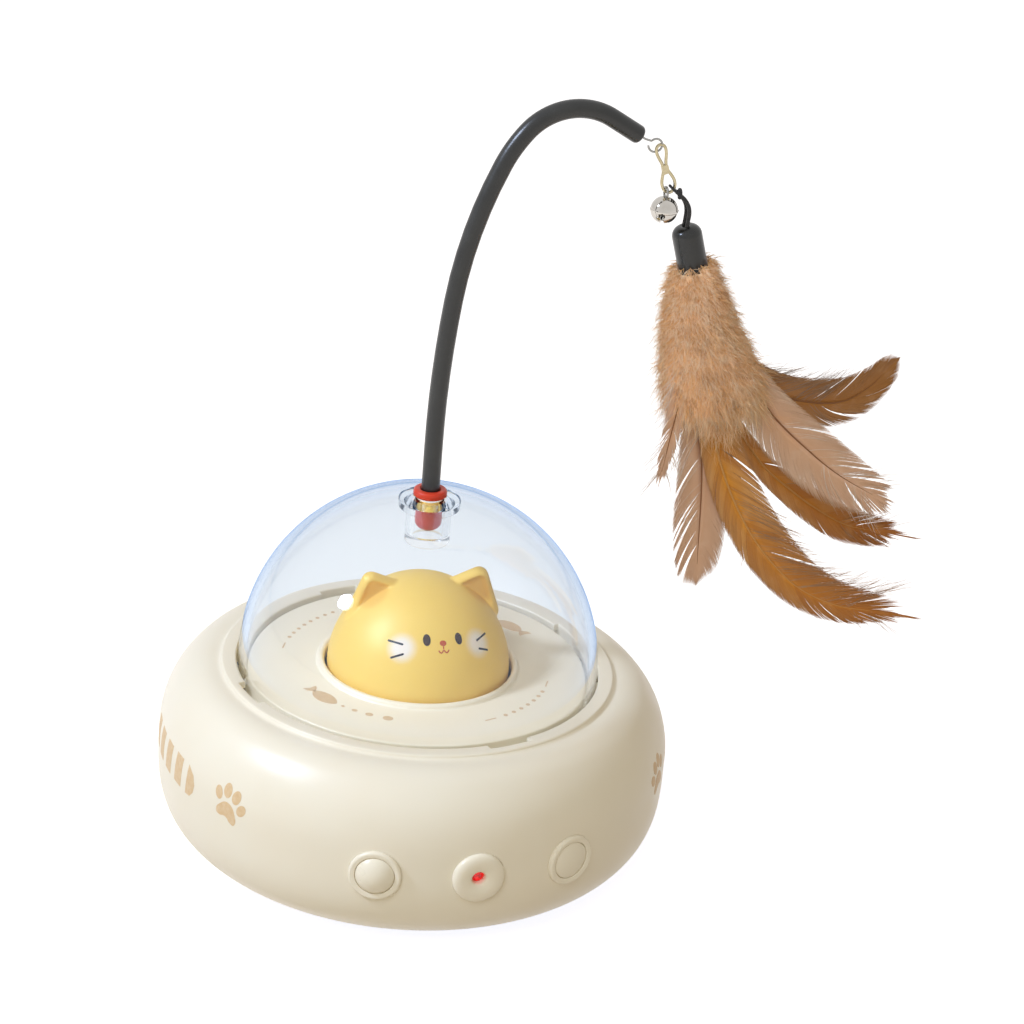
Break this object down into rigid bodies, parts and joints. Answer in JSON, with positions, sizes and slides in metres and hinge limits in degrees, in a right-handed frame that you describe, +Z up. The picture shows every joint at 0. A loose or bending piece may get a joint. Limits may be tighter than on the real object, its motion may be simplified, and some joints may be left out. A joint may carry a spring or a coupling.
{
  "type": "cat teaser toy",
  "caption": "Round saucer cat teaser that spins on a geared foot, with a clear dome over a cat head, a light outlet, push buttons and a bent rod with a bell and feather lure.",
  "frame": {"origin": "centre of the foot's underside, on the floor", "axes": "+Z up along the spin axis, -Y the front with the light outlet, +X the side that the rod leans to at rest"},
  "size_m": [0.2007, 0.1315, 0.2002],
  "materials": {
    "pad_rubber": "moulded, matt",
    "shell_abs": "injection moulded ABS, semi-gloss cream",
    "button_abs": "injection moulded ABS, semi-gloss cream",
    "head_abs": "injection moulded ABS, soft gloss yellow",
    "gear_acetal": "moulded acetal",
    "plate_abs": "moulded ABS",
    "black_abs": "moulded, satin",
    "steel": "zinc plated",
    "brass": "drawn and bright",
    "lens_acrylic": "clear red",
    "board_glass_epoxy": "green solder mask",
    "cell_wrap": "shrink wrap",
    "clear_acrylic": "clear moulded, polished",
    "red_rubber": "soft moulded, satin",
    "sleeve_rubber": "extruded, satin dark grey",
    "bell_chrome": "nickel plated",
    "cord_nylon": "braided nylon",
    "down": "loose down",
    "feather_barb": "natural barred feather"
  },
  "bodies": {
    "foot": {"foot_pad": "pad_rubber", "foot_disc": "shell_abs", "sun_gear": "gear_acetal", "thrust_washer": "steel", "axle_washer": "steel", "axle_screw": "steel"},
    "saucer": {"lower_shell": "shell_abs", "upper_shell": "shell_abs", "body_screws": "steel", "deck_plate": "shell_abs", "deck_screws": "steel", "cat_head": "head_abs", "head_screws": "steel", "power_bezel": "shell_abs", "mode_bezel": "shell_abs", "laser_bezel": "shell_abs", "laser_barrel": "brass", "laser_lens": "lens_acrylic", "main_board": "board_glass_epoxy", "board_screws": "steel", "power_switch": "black_abs", "mode_switch": "black_abs", "battery_cell": "cell_wrap", "battery_cradle": "black_abs", "gear_plate": "plate_abs", "plate_screws": "steel", "gear_pin": "steel", "motor_can": "steel", "charge_socket": "steel"},
    "reduction": {"drive_gear": "gear_acetal"},
    "motor_rotor": {"motor_shaft": "steel", "motor_pinion": "brass"},
    "power_key": {"power_button": "button_abs", "power_plunger": "black_abs"},
    "mode_key": {"mode_button": "button_abs", "mode_plunger": "black_abs"},
    "dome": {"dome": "clear_acrylic"},
    "plug": {"rod_plug": "red_rubber"},
    "rod": {"rod_sleeve": "sleeve_rubber", "rod_wire": "steel"},
    "snap": {"snap_hook": "brass"},
    "bell": {"bell_shell": "bell_chrome", "bell_pellet": "bell_chrome"},
    "lure": {"lure_cord": "cord_nylon", "lure_cap": "black_abs", "fluff": "down", "feather_1": "feather_barb", "feather_2": "feather_barb", "feather_3": "feather_barb", "feather_4": "feather_barb", "feather_5": "feather_barb", "feather_6": "feather_barb", "feather_7": "feather_barb"}
  },
  "joints": [
    {"name": "body_spin", "type": "hinge", "parent": "foot", "child": "saucer", "pos_m": [0, 0, 0.01], "axis": [0, 0, 1], "continuous": true},
    {"name": "reduction_spin", "type": "hinge", "parent": "saucer", "child": "reduction", "pos_m": [0, 0.024, 0.018], "axis": [0, 0, 1], "continuous": true},
    {"name": "motor_spin", "type": "hinge", "parent": "saucer", "child": "motor_rotor", "pos_m": [-0.01594, 0.0332, 0.022], "axis": [0, 0, 1], "continuous": true},
    {"name": "power_press", "type": "slide", "parent": "saucer", "child": "power_key", "axis": [0.3746, 0.9272, 0], "range_m": [0, 0.0008], "stiffness_N_per_m": 1500},
    {"name": "mode_press", "type": "slide", "parent": "saucer", "child": "mode_key", "axis": [-0.3746, 0.9272, 0], "range_m": [0, 0.0008], "stiffness_N_per_m": 1500},
    {"name": "dome_twist", "type": "hinge", "parent": "saucer", "child": "dome", "pos_m": [0, 0, 0.05], "axis": [0, 0, 1], "range_deg": [0, 20]},
    {"name": "rod_pull", "type": "slide", "parent": "dome", "child": "plug", "axis": [0, 0, 1], "range_m": [0, 0.02]},
    {"name": "rod_turn", "type": "hinge", "parent": "plug", "child": "rod", "pos_m": [0, 0, 0.095], "axis": [0, 0, 1], "continuous": true},
    {"name": "snap_swing", "type": "hinge", "parent": "rod", "child": "snap", "pos_m": [0.05156, 0, 0.18759], "axis": [0, -1, 0], "range_deg": [-8, 45]},
    {"name": "lure_swing", "type": "hinge", "parent": "snap", "child": "lure", "pos_m": [0.05513, 0, 0.1766], "axis": [1, 0, 0], "range_deg": [-24, 24]},
    {"name": "bell_swing", "type": "hinge", "parent": "snap", "child": "bell", "pos_m": [0.05403, 0, 0.1766], "axis": [1, 0, 0], "range_deg": [-12, 12]}
  ],
  "couplings": [
    {"joint": "reduction_spin", "follows": "body_spin", "ratio": 4},
    {"joint": "motor_spin", "follows": "body_spin", "ratio": -14.4}
  ]
}
